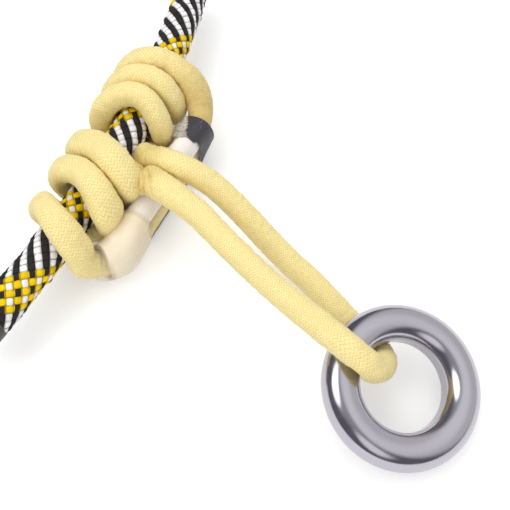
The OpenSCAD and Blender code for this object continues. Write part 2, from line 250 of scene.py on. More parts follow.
def fibre_group():
    """Filaments along each strand, with painted shade that sinks the colour in the crevices between the
    strands.
    """
    tree = bpy.data.node_groups.new("braid filaments", "ShaderNodeTree")
    for name, way, kind in (
        ("Colour", "INPUT", "Color"), ("Shade", "INPUT", "Color"), ("Streaks", "INPUT", "Float"),
        ("Seam", "INPUT", "Float"), ("Colour", "OUTPUT", "Color"), ("Height", "OUTPUT", "Float"),
    ):
        tree.interface.new_socket(name, in_out=way, socket_type="NodeSocket" + kind)
    start, end = tree.nodes.new("NodeGroupInput"), tree.nodes.new("NodeGroupOutput")
    rise = node(tree, "Attribute", attribute_name="rise")
    depth = node(tree, "MapRange", From_Min=0.0, interpolation_type="SMOOTHSTEP")
    tree.links.new(rise.outputs["Fac"], depth.inputs["Value"])
    tree.links.new(start.outputs["Seam"], depth.inputs["From Max"])
    place = node(tree, "UVMap", uv_map="fibre")
    stretch = node(tree, "Mapping", Scale=(6500, 260, 1))
    tree.links.new(place.outputs["UV"], stretch.inputs["Vector"])
    noise = node(tree, "TexNoise", Scale=1.0, Detail=2.0, Roughness=0.6)
    tree.links.new(stretch.outputs["Vector"], noise.inputs["Vector"])
    sunk = node(tree, "Mix", data_type="RGBA")
    tree.links.new(depth.outputs["Result"], sunk.inputs["Factor"])
    tree.links.new(start.outputs["Shade"], sunk.inputs["A"])
    tree.links.new(start.outputs["Colour"], sunk.inputs["B"])
    streak = node(tree, "MapRange", From_Min=0.3, From_Max=0.7, To_Min=0.78, To_Max=1.08)
    tree.links.new(noise.outputs["Fac"], streak.inputs["Value"])
    tint = node(tree, "Mix", data_type="RGBA", blend_type="MULTIPLY")
    tree.links.new(start.outputs["Streaks"], tint.inputs["Factor"])
    tree.links.new(sunk.outputs["Result"], tint.inputs["A"])
    tree.links.new(streak.outputs["Result"], tint.inputs["B"])
    tree.links.new(tint.outputs["Result"], end.inputs["Colour"])
    tree.links.new(noise.outputs["Fac"], end.inputs["Height"])
    return tree


filaments = fibre_group()


def braid_material(name, streaks, seam, shade_by, **values):
    """Braided yarn: the strand's own colour, filaments along it, and painted shade in the seams between
    strands.
    """
    material, tree, shader = new_material(name, **values)
    strand = node(tree, "Attribute", attribute_name="strand")
    # Painted shade in the seams: the strand's colour times shade_by
    shade = node(tree, "Mix", data_type="RGBA", blend_type="MULTIPLY", Factor=1.0, B=shade_by)
    yarn = node(tree, "Group", node_tree=filaments, Streaks=streaks, Seam=seam)
    tree.links.new(strand.outputs["Color"], shade.inputs["A"])
    tree.links.new(strand.outputs["Color"], yarn.inputs["Colour"])
    tree.links.new(shade.outputs["Result"], yarn.inputs["Shade"])
    tree.links.new(yarn.outputs["Colour"], shader.inputs["Base Color"])
    raise_by(tree, shader, yarn.outputs["Height"], strength=0.35, distance=0.00012)
    return material


# Strong painted shade in the rope's seams
rope_yarn = braid_material(
    "rope yarn", streaks=0.8, seam=0.55, shade_by=(0.35, 0.33, 0.33, 1), Roughness=0.7,
    Specular_IOR_Level=0.2,
)
rope.data.materials.append(rope_yarn)
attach(rope, "rope")
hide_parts("rope_sheath")

# Rope ends: where the short length was cut, the sheath and the core are melted together
# and pressed to a hard dark cap with small lumps.


def pattern(tree, kind, **values):
    """A texture that reads the piece's own place, in metres."""
    texture = node(tree, "Tex" + kind, **values)
    tree.links.new(node(tree, "TexCoord").outputs["Object"], texture.inputs["Vector"])
    return texture


melt, tree, shader = new_material("melted fibre", Roughness=0.42)
lumps = pattern(tree, "Noise", Scale=420.0, Detail=4.0)
burn = node(tree, "ValToRGB")
burn.color_ramp.elements[0].color = (0.012, 0.011, 0.012, 1)
burn.color_ramp.elements[1].color = (0.075, 0.066, 0.05, 1)
tree.links.new(lumps.outputs["Fac"], burn.inputs["Fac"])
tree.links.new(burn.outputs["Color"], shader.inputs["Base Color"])
raise_by(tree, shader, lumps.outputs["Fac"], strength=0.5, distance=0.0004)
for name in ("rope_upper_seal", "rope_lower_seal"):
    bpy.data.objects[name].data.materials[0] = melt

# Rope core: seven white strands of twisted filament that carry the load, with one red
# marker thread beside them. The sheath is woven tightly over them all.
core_names = ["rope_core_centre"] + [f"rope_core_{k}" for k in range(1, 7)]
for name, colour, names in (
    ("core filament", (0.80, 0.79, 0.75, 1), core_names),
    ("marker filament", (0.55, 0.04, 0.03, 1), ["rope_marker_thread"]),
):
    filament, tree, shader = new_material(name, Base_Color=colour, Roughness=0.65, Sheen_Weight=0.2)
    lay = pattern(tree, "Wave", Scale=260.0, bands_direction="DIAGONAL", Distortion=0.8)
    raise_by(tree, shader, lay.outputs["Fac"], strength=0.6, distance=0.0003)
    for part in names:
        bpy.data.objects[part].data.materials[0] = filament

# Cord of the hitch: one length of pale aramid braid, woven two over two, whose ends lie together
# in the splice. It is wound three turns down the rope, runs out to the ring and back,
# and is wound three turns more below.
CORD_R = 0.004
CORD_STRANDS, CORD_FINE, CORD_OVER = 26, 2, 2
CORD_ROW = 0.00094
GRIP_R = 0.00675
SPLICE_OUT, SPLICE_LEAN = 0.0186, math.radians(4.6)
SPLICE_TOP, SLEEVE_LOW = 0.019, -0.0268
STRAND_R, STRAND_HALF, SPLICE_UP = 0.00375, 0.00395, -0.00575
SLEEVE_R = 0.00465
HINGE_ALONG, HINGE_OUT, HINGE_UP, HINGE_BELOW = -0.0040, 0.0193, 0.0073, 0.0130

# The turns: the upper end of each set and how steeply it winds, with what the cord's own lie adds to its
# place and half sizes, as the degrees round the rope, the width in degrees and the height of each swell
TURNS = 3
WRAP_DEGREES = range(60, 1021, 30)
WRAP_HALF_T, UPPER_HALF_W, LOWER_HALF_W = 0.0038, 0.00415, 0.0052
UPPER_FROM, UPPER_PITCH = 0.0314, 0.0084
UPPER_DIPS = ((180, 90, 0.003), (360, 90, 0.003), (540, 90, 0.003), (720, 90, 0.006), (900, 90, 0.004))
UPPER_THICKER = ((540, 100, 0.0004), (900, 100, 0.0004))
LOWER_TO, LOWER_PITCH, LOWER_STRAY = -0.0095, 0.0115, 0.003
LOWER_BENDS = (
    (60, 80, -0.0024), (316, 70, 0.0018), (386, 70, -0.0036), (460, 90, 0.0009), (680, 60, 0.0016),
    (755, 60, -0.0036),
)
LOWER_THICKER = (
    (405, 60, 0.0006), (765, 60, 0.0008), (350, 50, -0.0008), (710, 50, -0.0008), (150, 90, -0.0005),
)
LOWER_WIDER = ((120, 75, -0.0011), (450, 110, -0.0006), (380, 50, 0.0006))
LOWER_LIFTS = ((545, 75, 0.0009), (895, 75, 0.0009), (392, 75, 0.0021), (757, 70, 0.0030))


def on_splice(along):
    """Place on the leaned line of the splice, as along the rope and out from it."""
    x = SPLICE_OUT + along * math.tan(SPLICE_LEAN) + ROPE_BEND
    return ROPE_BEND * math.atan2(along, x), math.hypot(x, along) - ROPE_BEND


def splice_point(along, up):
    """Route point of a cord in the splice, with its half sizes."""
    return (*on_splice(along), up, STRAND_R, STRAND_R)


def pinch(along):
    """Middle of the gap between the rope and the splice."""
    return (ROPE_R + on_splice(along)[1] - SLEEVE_R) / 2


def wrap_point(degrees, along, half_t, half_w, lift=0):
    """Route point of a turn round the rope, with its half sizes."""
    angle = math.radians(degrees)
    reach = GRIP_R + half_t + lift
    return along, reach * math.cos(angle), reach * math.sin(angle), half_t, half_w


def swells(degrees, table):
    """Sum of smooth rises from 0 to a height and back, each round one side of one turn."""
    shares = [max(-1, min(1, (degrees - middle) / width)) for middle, width, _ in table]
    return sum(row[2] * math.cos(math.pi / 2 * share) ** 2 for row, share in zip(table, shares))


def upper_along(degrees):
    """Where the upper turns lie along the rope."""
    return UPPER_FROM - UPPER_PITCH * (degrees - 90) / 360 - swells(degrees, UPPER_DIPS)


def lower_along(degrees):
    """Where the lower turns lie along the rope. The lowest one strays a little from the others."""
    turn = (degrees - 90) / 360
    stray = LOWER_STRAY * max(0, 1 - turn) ** 2
    return LOWER_TO - LOWER_PITCH * (TURNS - 1 - turn) - stray + swells(degrees, LOWER_BENDS)


upper_up, lower_up = SPLICE_UP + STRAND_HALF, SPLICE_UP - STRAND_HALF
upper_lead = [
    (-0.0302, SPLICE_OUT - 0.0016, upper_up - 0.0030, 0.0014, 0.0016),
    (-0.0286, SPLICE_OUT - 0.0008, upper_up - 0.0018, 0.0026, 0.0027),
] + [
    splice_point(a, upper_up) for a in (SLEEVE_LOW, -0.024, -0.014, -0.002, 0.010, SPLICE_TOP)
] + [
    (0.0240, SPLICE_OUT + 0.0002, upper_up + 0.0009, 0.0044, 0.0046),
    (0.0278, SPLICE_OUT - 0.0020, upper_up + 0.004, 0.0046, 0.0048),
    (0.0300, SPLICE_OUT - 0.0056, upper_up + 0.0076, 0.0045, 0.0046),
    (0.0310, SPLICE_OUT - 0.0098, upper_up + 0.0100, 0.0041, 0.0043),
]
upper_wraps = [
    wrap_point(d, upper_along(d), WRAP_HALF_T + swells(d, UPPER_THICKER), UPPER_HALF_W) for d in WRAP_DEGREES
]
upper_root = [
    wrap_point(-25, 0.0034, 0.0031, 0.0036),
    (0.0004, pinch(0.0) - 0.0002, -0.0012, 0.0031, 0.0037),
    (-0.0017, pinch(0.0) - 0.0002, 0.0016, 0.0032, 0.0043),
    (-0.0036, pinch(0.0) + 0.0017, 0.0044, 0.0035, 0.0050),
    (-0.0038, HINGE_OUT - 0.0042, HINGE_UP - 0.0011, 0.0038, 0.0041),
]
lower_lead = [
    (*on_splice(0.0165), lower_up + 0.0032, 0.0014, 0.0014),
    (*on_splice(0.0138), lower_up + 0.0014, 0.0027, 0.0027),
] + [
    splice_point(a, lower_up) for a in (0.008, -0.004, -0.016, SLEEVE_LOW)
] + [
    (-0.0325, SPLICE_OUT - 0.0027, lower_up + 0.0002, 0.0039, 0.004),
    (-0.0376, SPLICE_OUT - 0.0050, lower_up + 0.0027, 0.0038, 0.0044),
    (-0.0413, SPLICE_OUT - 0.0072, lower_up + 0.0078, 0.0037, 0.0048),
    (-0.0409, SPLICE_OUT - 0.0087, lower_up + 0.014, 0.0036, 0.0051),
]
lower_wraps = [
    wrap_point(
        d, lower_along(d), WRAP_HALF_T + swells(d, LOWER_THICKER), LOWER_HALF_W + swells(d, LOWER_WIDER),
        swells(d, LOWER_LIFTS),
    )
    for d in WRAP_DEGREES
]
lower_root = [
    wrap_point(-25, -0.0070, 0.0030, 0.0038),
    (-0.0092, pinch(-0.0054) - 0.0004, 0.0000, 0.0030, 0.0042),
    (-0.0106, pinch(-0.005) + 0.0000, 0.0030, 0.0032, 0.0050),
    (-0.0117, pinch(-0.005) + 0.0018, 0.0044, 0.0036, 0.0052),
    (-0.0126, HINGE_OUT - 0.0046, HINGE_UP - 0.0013, 0.0038, 0.0049),
]

# The two legs lie from the hitch to the ring, and the bight turns round the ring's bar from below
upper_leg = np.array([
    (0.026, -0.005, 0.0224), (0.035, -0.0052, 0.019), (0.0422, -0.0068, 0.0155), (0.050, -0.0095, 0.012),
    (0.058, -0.0127, 0.0086), (0.0662, -0.0161, 0.0062), (0.076, -0.0204, 0.0051),
])
lower_leg = np.array([
    (0.0804, -0.0406, 0.025), (0.0661, -0.0339, 0.0228), (0.0506, -0.0261, 0.022), (0.0381, -0.0194, 0.022),
    (0.0285, -0.0158, 0.022),
])
LEG_ROOT_W = (0.0040, 0.0039, 0.0040, 0.0042, 0.0045, 0.0048)
RING_HEADING, RING_LIFT = math.radians(-21.2), 0.0161
BIGHT_R, BIGHT_BELOW, BIGHT_ABOVE = 0.0108, 0.0083, 0.0060
SNUG_BACK, SNUG_ASIDE = 0.0008, 0.0016
heading = np.array([math.cos(RING_HEADING), math.sin(RING_HEADING), 0])
sideways = np.array([-math.sin(RING_HEADING), math.cos(RING_HEADING), 0])
upright = np.array([0.0, 0.0, 1.0])
on_table = np.array([SET_DOWN[0], SET_DOWN[1], 0])
bight = np.array([0.0937, -0.0383, RING_LIFT]) + on_table
snug = bight - SNUG_BACK * heading - SNUG_ASIDE * sideways


def bight_aside(a):
    """How far the bight lies to the side: in a round turn below the bar, and soon straight on above it."""
    return BIGHT_BELOW * math.sin(a) if a < 0 else BIGHT_ABOVE * math.sin(a) ** 0.6


bight_turn = np.array([
    snug + BIGHT_R * (math.cos(a) * heading + math.sin(a) * upright) - bight_aside(a) * sideways
    for a in np.radians(np.arange(-90, 91, 22.5))
])
hinge_upper = rope_point(HINGE_ALONG, HINGE_OUT, HINGE_UP)
hinge_lower = np.array([hinge_upper[0], SET_DOWN[1] - HINGE_BELOW, hinge_upper[2]])


def smooth(points, steps):
    """Smooth curve through the points, with even steps from each to the next."""
    p = np.asarray(points)
    a, b, c, d = (p[np.clip(np.arange(len(p) - 1) + k, 0, len(p) - 1)][:, None] for k in (-1, 0, 1, 2))
    t = (np.arange(steps) / steps)[None, :, None]
    square, cube = 2 * a - 5 * b + 4 * c - d, 3 * b - a - 3 * c + d
    curve = 0.5 * (2 * b + (c - a) * t + square * t ** 2 + cube * t ** 3)
    return np.concatenate([curve.reshape(-1, p.shape[1]), p[-1:]])


def hitch_side(route):
    """Points of a hitch route, each with its outward direction from the rope and its half sizes."""
    route = np.array(route)
    points = rope_point(route[:, 0], route[:, 1], route[:, 2])
    outward = points - rope_point(route[:, 0], 0 * route[:, 1], 0)
    return np.concatenate([points, unit(outward), route[:, 3:]], 1)


def tail_side(points):
    """Points of the tail, each with its upward direction and its half sizes."""
    points = np.asarray(points)
    rest = np.tile([0, 0, 1, CORD_R, CORD_R], (len(points), 1))
    rest[-len(LEG_ROOT_W):, 4] = LEG_ROOT_W
    return np.concatenate([points, rest], 1)


SPAN_STEPS = 24
upper_side = hitch_side(upper_lead + upper_wraps + upper_root)
lower_side = hitch_side(lower_lead + lower_wraps + lower_root)[::-1]
tail = tail_side(np.concatenate(
    [[hinge_upper], upper_leg + on_table, bight_turn, lower_leg + on_table, [hinge_lower]]
))
loop = smooth(np.concatenate([upper_side, tail, lower_side]), SPAN_STEPS)
length_at = np.concatenate([[0], np.cumsum(np.linalg.norm(np.diff(loop[:, :3], axis=0), axis=1))])


def length_to(spans):
    """Length along the loop, from its start to a number of spans between route points."""
    return length_at[int(SPAN_STEPS * spans)]


# Even steps along the whole loop, one for each row of the braid
cord_step = CORD_ROW / (2 * CORD_FINE)
steps = np.linspace(0, length_at[-1], int(length_at[-1] / cord_step))
loop = np.stack([np.interp(steps, length_at, loop[:, k]) for k in range(loop.shape[1])], 1)
loop_line, loop_out, half_t, half_w = loop[:, :3], unit(loop[:, 3:6]), loop[:, 6], loop[:, 7]
loop_way = unit(np.gradient(loop_line, axis=0))

# The braid keeps its own way round as the cord turns, so it isn't twisted
loop_normal = np.zeros_like(loop_line)
loop_normal[0] = unit(np.cross(loop_way[0], (0, 0, 1.0)))
for k in range(1, len(loop)):
    carried = loop_normal[k - 1] - loop_way[k] * (loop_normal[k - 1] @ loop_way[k])
    loop_normal[k] = carried / math.sqrt(carried @ carried)
loop_cross = np.cross(loop_way, loop_normal)
loop_out = unit(loop_out - loop_way * (loop_out * loop_way).sum(1, keepdims=True))
loop_across = np.cross(loop_way, loop_out)

# Pale strands, browner with glue in the splice and just above it, with painted shade on the lead further up,
# and with painted shade where the legs go in under the turns
CORD_COLOUR = (0.94, 0.80, 0.37)
DULLEST_YARN, YARN_TINTS = 0.95, 0.08
# Glue tint over the splice and just above it, carried on up the lead to the first turn as painted shade
GLUE_AND_SHADE_UPPER = 0.056, 0.086
GLUE_AND_SHADE_TINT = (0.74, 0.66, 0.54)
FOLD_AT = length_to(len(upper_side) + len(tail) - 1)
# Painted shade on the legs' roots, where they go in under the turns
SHADED_ROOTS = (length_to(len(upper_side)) - 0.007, FOLD_AT + 0.005)
SHADED_NEAR = 0.003, 0.010
ROOT_SHADE_TINT = (0.82, 0.78, 0.64)


def cord_colours(first_step):
    """Colours of the cord's strands, from a step along the loop onwards."""

    def paint(i, j, top, beside_seam, chance, ring):
        place = steps[np.minimum(first_step + ring, len(steps) - 1)]
        glue_and_shade = 1 - ease(place, *GLUE_AND_SHADE_UPPER)
        root_shade = sum(1 - ease(np.abs(place - root), *SHADED_NEAR) for root in SHADED_ROOTS)
        rgb = np.array(CORD_COLOUR) * (DULLEST_YARN + YARN_TINTS * chance[..., None])
        # Glue in the splice, then painted shade on the lead
        rgb = rgb * (1 - glue_and_shade[..., None] * (1 - np.array(GLUE_AND_SHADE_TINT)))
        # Painted shade near the legs' roots
        rgb = rgb * (1 - root_shade[..., None] * (1 - np.array(ROOT_SHADE_TINT)))
        return np.concatenate([rgb, np.ones(rgb.shape[:-1] + (1,))], -1)

    return paint


def piece_points(piece):
    """The points of a piece's mesh, as an array."""
    co = np.empty(len(piece.data.vertices) * 3, np.float32)
    piece.data.vertices.foreach_get("co", co)
    return co.reshape(-1, 3).astype(float)


def move_points(piece, co):
    """Puts the points of a piece's mesh at new places."""
    piece.data.vertices.foreach_set("co", co.astype(np.float32).ravel())
    piece.data.update()


# The braid's relief, which glue fills in the splice, and the folds where the lower leg leaves the turns
CORD_RELIEF, LEAST_RELIEF = 0.00020, 1e-7
GLUE_UPPER = 0.0390, 0.0450
GLUE_LOWER = length_at[-1] - 0.057, length_at[-1] - 0.051
FOLD_DEPTH, FOLD_WIDTH = 0.0013, 0.00045
FOLDS = ((-0.0037, 0.0006), (-0.0021, 0.0014), (-0.0002, 0.0026))
FOLD_TOP, FOLD_END = (-0.4, 0.2), (-0.0052, -0.0040)
CORD_PUFF = 2.3
SOFT_CLEAR, TABLE_CLEAR = 0.00645, 0.0002


def cord_piece(name, low, high):
    """Part of the loop, from one length along it to another, as a braid pressed against rope and table."""
    part = slice(np.searchsorted(steps, low), np.searchsorted(steps, high) + 1)
    in_glue = (1 - ease(steps[part], *GLUE_UPPER)) + ease(steps[part], *GLUE_LOWER)

    def reach(ways):
        """Outer radius of the flattened and folded cord."""
        count = len(ways)
        out, across = loop_out[part][:count, None], loop_across[part][:count, None]
        t, w = half_t[part][:count, None], half_w[part][:count, None]
        up, aside = (ways * out).sum(-1), (ways * across).sum(-1)
        share = (np.abs(up) / t) ** CORD_PUFF + (np.abs(aside) / w) ** CORD_PUFF
        from_root = FOLD_AT - steps[part][:count, None]
        angle = np.arctan2(aside, up)
        folds = sum(np.exp(-(((from_root - at + slope * angle) / FOLD_WIDTH) ** 2)) for at, slope in FOLDS)
        folds = folds * ease(np.cos(angle), *FOLD_TOP) * ease(from_root, *FOLD_END)
        return share ** (-1 / CORD_PUFF) - FOLD_DEPTH * folds

    piece = braided_tube(
        name, loop_line[part], loop_normal[part], loop_cross[part], reach, np.zeros(len(steps[part])),
        CORD_STRANDS, CORD_FINE, CORD_OVER, CORD_RELIEF * (1 - in_glue) + LEAST_RELIEF, part.start,
        cord_colours(part.start),
    )

    # Push what reaches into the rope or the table back out to its surface
    co = piece_points(piece)
    flat = co - SET_DOWN
    from_bend = flat[:, :2] + [ROPE_BEND, 0]
    ring = np.hypot(from_bend[:, 0], from_bend[:, 1])
    out = ring - ROPE_BEND
    near = np.hypot(out, flat[:, 2])
    push = np.maximum(SOFT_CLEAR / np.maximum(near, 1e-6), 1)
    grown = (ROPE_BEND + out * push) / ring
    co[:, :2] = from_bend * grown[:, None] - [ROPE_BEND, 0] + SET_DOWN[:2]
    co[:, 2] = np.maximum(flat[:, 2] * push + SET_DOWN[2], TABLE_CLEAR)
    move_points(piece, co)
    piece.data.materials.append(cord_yarn)
    return piece, loop_line[part]


# The cuts between the loop's three pieces lie on the underside of the rope
# Light painted shade in the cord's seams
cord_yarn = braid_material(
    "cord yarn", streaks=0.35, seam=0.32, shade_by=(0.88, 0.80, 0.64, 1), Roughness=0.65, Sheen_Weight=0.15
)
upper_cut = length_to(len(upper_lead) + len(upper_wraps) - 4)
lower_cut = length_to(len(upper_side) + len(tail) + len(lower_root) + 2.5)
upper_cord, upper_line = cord_piece("cord_upper_wraps", 0, upper_cut)
tail_cord, tail_line = cord_piece("cord_tail", upper_cut, lower_cut)
lower_cord, lower_line = cord_piece("cord_lower_wraps", lower_cut, length_at[-1])
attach(upper_cord, "hitch")
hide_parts("upper_wraps")
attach(lower_cord, "hitch")
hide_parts("lower_wraps")
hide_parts("tail_loop")
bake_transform(tail_cord)

# Clear sleeve: a heat-shrink tube round the sewn splice and on round the lower turn, with glue inside it.
# It is an oval round both cords, and narrows to one cord where the other one ends.
SLEEVE_TOP, SLEEVE_WALL, SLEEVE_WAIST, SLEEVE_TIP = 0.0094, 0.0003, 0.05, 0.45
SLEEVE_WAVE, SLEEVE_WAVES, SLEEVE_PINCH = 0.0002, 9, 0.0012
SLEEVE_FULLER, SLEEVE_BULGE = 0.0004, 0.0015
SLEEVE_SPAN_STEPS = 14
GIRTH_SIDE, GIRTH_TURN = 8, 28
FILM_CLEAR = 0.00005
GLUE_FROM, GLUE_TO, CUT_ASKEW = (0.0308, 0.0338), (0.0502, 0.0536), 0.0035


def skin_faces(rows, columns, closed):
    """Four-sided faces of a grid of points, which may close on itself across its columns."""
    k, a = np.meshgrid(np.arange(rows - 1), np.arange(columns if closed else columns - 1), indexing="ij")
    b = (a + 1) % columns
    corners = [k * columns + a, (k + 1) * columns + a, (k + 1) * columns + b, k * columns + b]
    return np.stack(corners, -1).reshape(-1, 4).tolist()


def give_wall(skin, thick):
    """Makes a skin solid, inwards from its surface, and lets it ride with the hitch."""
    bpy.ops.object.select_all(action="DESELECT")
    skin.select_set(True)
    bpy.context.view_layer.objects.active = skin
    wall = skin.modifiers.new("wall", "SOLIDIFY")
    wall.thickness = thick
    wall.offset = -1
    bpy.ops.object.modifier_apply(modifier=wall.name)
    bpy.ops.object.shade_smooth_by_angle(angle=math.radians(50))
    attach(skin, "hitch")


def shrunk_skin(name, line, apart, half, bulge, film, wall, waist, tip):
    """Thin tube round the lower cord of the splice, and round the upper one as far above it as apart says.
    It is drawn in at its waist and swells by bulge on the left of its way. Its rings lean by the share tip
    where its line climbs, and film gives a value by the share of its girth and the length along it."""
    way = unit(np.gradient(line, axis=0) * (1, 1, tip))
    rise = unit(upright - way * way[:, 2:])
    side = np.cross(way, rise)
    level = np.linspace(-1, 1, GIRTH_SIDE)
    drawn_in = 1 - waist * (1 - level ** 2)
    bend = np.pi * (np.arange(GIRTH_TURN) + 1) / (GIRTH_TURN + 1)
    across = np.concatenate([drawn_in, np.cos(bend), -drawn_in, -np.cos(bend)])
    round_up = np.concatenate([0 * level, np.sin(bend), 0 * level, -np.sin(bend)])
    apart_up = np.concatenate([level, 1 + 0 * bend, -level, -1 + 0 * bend]) / 2 + 0.5
    half, apart = half[:, None], apart[:, None]
    middle, tall = apart / 2, half + apart / 2
    height = half * round_up + apart * apart_up
    turn = np.arctan2((height - middle) / tall, across)
    oval = ease(1 - apart / apart.max(), 0, 0.6)
    across = (1 - oval) * across + oval * np.cos(turn)
    height = (1 - oval) * height + oval * (middle + tall * np.sin(turn))
    across = half * across - bulge[:, None] * np.clip(-across, 0, 1)
    co = line[:, None] + side[:, None] * across[..., None] + rise[:, None] * height[..., None]
    co[..., 2] = np.maximum(co[..., 2], FILM_CLEAR)
    rings, around = co.shape[:2]
    skin = mesh_piece(name, co, skin_faces(rings, around, closed=True))
    along = np.concatenate([[0], np.cumsum(np.linalg.norm(np.diff(line, axis=0), axis=1))])
    mask = film(np.arange(around)[None] / around, along[:, None]) + np.zeros((rings, around))
    values = skin.data.attributes.new("film", "FLOAT", "POINT").data
    values.foreach_set("value", mask.ravel().astype(np.float32))
    give_wall(skin, wall)
    return skin


def glue_film(girth, along):
    """Cloudy from below the label to the lower end, which is cut askew."""
    askew = CUT_ASKEW * (0.5 - 0.5 * np.cos(2 * np.pi * (girth - 0.2)))
    return ease(along, *GLUE_FROM) * (1 - ease(along + askew, *GLUE_TO))


sleeve_route = [splice_point(a, lower_up)[:3] for a in (SLEEVE_TOP, 0, -0.010, -0.020, SLEEVE_LOW)]
sleeve_route += [point[:3] for point in lower_lead[-4:-2]]
sleeve_route += [(-0.0397, SPLICE_OUT - 0.0063, lower_up + 0.0056)]
sleeve_apart = [2 * STRAND_HALF] * 5 + [0.0064, 0.0030, 0.0008]
sleeve_curve = smooth(np.column_stack([sleeve_route, sleeve_apart]), SLEEVE_SPAN_STEPS)
sleeve_line = rope_point(sleeve_curve[:, 0], sleeve_curve[:, 1], sleeve_curve[:, 2])
sleeve_share = np.linspace(0, 1, len(sleeve_line))
sleeve_swell = ease(sleeve_share, 0.50, 0.72) - ease(sleeve_share, 0.84, 0.97)
sleeve_half = SLEEVE_R + SLEEVE_WAVE * np.sin(SLEEVE_WAVES * sleeve_share)
sleeve_half = sleeve_half - SLEEVE_PINCH * ease(sleeve_share, 0.9, 1) + SLEEVE_FULLER * sleeve_swell
sleeve = shrunk_skin(
    "clear_shrink_sleeve", sleeve_line, sleeve_curve[:, 3], sleeve_half, SLEEVE_BULGE * sleeve_swell,
    glue_film, SLEEVE_WALL, SLEEVE_WAIST, SLEEVE_TIP,
)
clear_film, tree, shader = new_material(
    "clear shrink film", Base_Color=(0.97, 0.86, 0.66, 1), Roughness=0.2, Coat_Weight=0.3
)
ripple = pattern(tree, "Noise", Scale=160.0, Detail=2.0)
raise_by(tree, shader, ripple.outputs["Fac"], strength=0.25, distance=0.0006)
glue = node(tree, "Attribute", attribute_name="film")
cloud = node(tree, "MapRange", To_Min=0.1, To_Max=0.86)
tree.links.new(glue.outputs["Fac"], cloud.inputs["Value"])
tree.links.new(cloud.outputs["Result"], shader.inputs["Alpha"])
sleeve.data.materials.append(clear_film)
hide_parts("splice_sleeve")

# Charcoal end: dark shrink film round the upper end of the splice, cut unevenly, with light scuffs.
# It tapers over the cut end of the lower cord. On the rope's side only hazy film covers the glued cords.
BAND_LOW, BAND_WALL, BAND_WAIST, BAND_TIP = 0.0096, 0.0004, 0.03, 0
BAND_RINGS, BAND_TAPER = 48, 0.6
BAND_PROUD, BAND_MOUTH, BAND_OUT, BAND_BULGE = 0.0001, 0.0004, 0.0009, 0.0033
CUT_GIRTH = (0, 0.11, 0.17, 0.20, 0.25, 0.285, 0.315, 0.335, 0.375, 0.40, 0.62, 0.70, 0.80, 1)
CUT_ALONG = (
    0.0017, 0.0020, 0.0016, 0.0002, 0.0004, 0.0008, 0.0019, 0.0050, 0.0094, 0.0120, 0.0120, 0.0070, 0.0025,
    0.0017,
)
CUT_EDGE = 0.0002
CLEAR_FROM, CLEAR_TO = (0, 0.03), (0.28, 0.34)


def dark_film(girth, along):
    """1 where the film is dark, 0 where it is hazy with glue, and -1 where it is clear over the label."""
    dark = ease(along - np.interp(girth, CUT_GIRTH, CUT_ALONG), -CUT_EDGE, CUT_EDGE)
    clear = ease(girth, *CLEAR_FROM) * (1 - ease(girth, *CLEAR_TO))
    return dark - clear * (1 - dark)


band_share = np.linspace(0, 1, BAND_RINGS)
band_along = BAND_LOW + (SPLICE_TOP - BAND_LOW) * band_share
band_apart = 2 * STRAND_HALF * (1 - BAND_TAPER * ease(band_share, 0.05, 1))
band_route = np.array([(*on_splice(a), upper_up - apart) for a, apart in zip(band_along, band_apart)])
band_route[:, 1] += BAND_OUT * ease(band_share, 0.1, 0.8)
band_line = rope_point(band_route[:, 0], band_route[:, 1], band_route[:, 2])
band_half = SLEEVE_R + BAND_PROUD - BAND_MOUTH * (1 - ease(band_share, 0, 0.35))
band_bulge = BAND_BULGE * ease(band_share, -0.35, 0.45)
band = shrunk_skin(
    "charcoal_end_band", band_line, band_apart, band_half, band_bulge, dark_film, BAND_WALL, BAND_WAIST,
    BAND_TIP,
)
charcoal, tree, shader = new_material("charcoal film", Roughness=0.36)
film = node(tree, "Attribute", attribute_name="film")
place = node(tree, "TexCoord")
stretch = node(tree, "Mapping", Scale=(900, 160, 500), Rotation=(0.3, 0.2, 0.6))
scratch = node(tree, "TexNoise", Scale=1.0, Detail=3.0)
scuff = node(tree, "MapRange", From_Min=0.66, From_Max=0.74)
dark = node(tree, "Mix", data_type="RGBA", A=(0.038, 0.035, 0.045, 1), B=(0.22, 0.21, 0.23, 1))
tree.links.new(place.outputs["Object"], stretch.inputs["Vector"])
tree.links.new(stretch.outputs["Vector"], scratch.inputs["Vector"])
tree.links.new(scratch.outputs["Fac"], scuff.inputs["Value"])
tree.links.new(scuff.outputs["Result"], dark.inputs["Factor"])
fray = pattern(tree, "Noise", Scale=1100.0, Detail=2.0)
frayed = node(tree, "MapRange", From_Min=0.52, From_Max=0.62)
hazy = node(tree, "Mix", data_type="RGBA", A=(0.64, 0.60, 0.56, 1), B=(0.40, 0.32, 0.22, 1))
tree.links.new(fray.outputs["Fac"], frayed.inputs["Value"])
tree.links.new(frayed.outputs["Result"], hazy.inputs["Factor"])
tone = node(tree, "Mix", data_type="RGBA")
tree.links.new(film.outputs["Fac"], tone.inputs["Factor"])
tree.links.new(hazy.outputs["Result"], tone.inputs["A"])
tree.links.new(dark.outputs["Result"], tone.inputs["B"])
tree.links.new(tone.outputs["Result"], shader.inputs["Base Color"])
see = node(tree, "MapRange", From_Min=-1.0, To_Min=0.1, To_Max=1.0)
tree.links.new(film.outputs["Fac"], see.inputs["Value"])
tree.links.new(see.outputs["Result"], shader.inputs["Alpha"])
band.data.materials.append(charcoal)
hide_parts("splice_end_band")

# Label: a strip of plain white film laid over the upper cord and held down by the sleeve,
# with round corners at its lower end. Its upper end goes under the dark film.
FILM_R, FILM_CORNER, FILM_WALL = 0.00418, 0.0025, 0.00015
FILM_POINTS = 61
lean_way = np.array([math.sin(SPLICE_LEAN), math.cos(SPLICE_LEAN), 0])
lean_side = np.array([math.cos(SPLICE_LEAN), -math.sin(SPLICE_LEAN), 0])


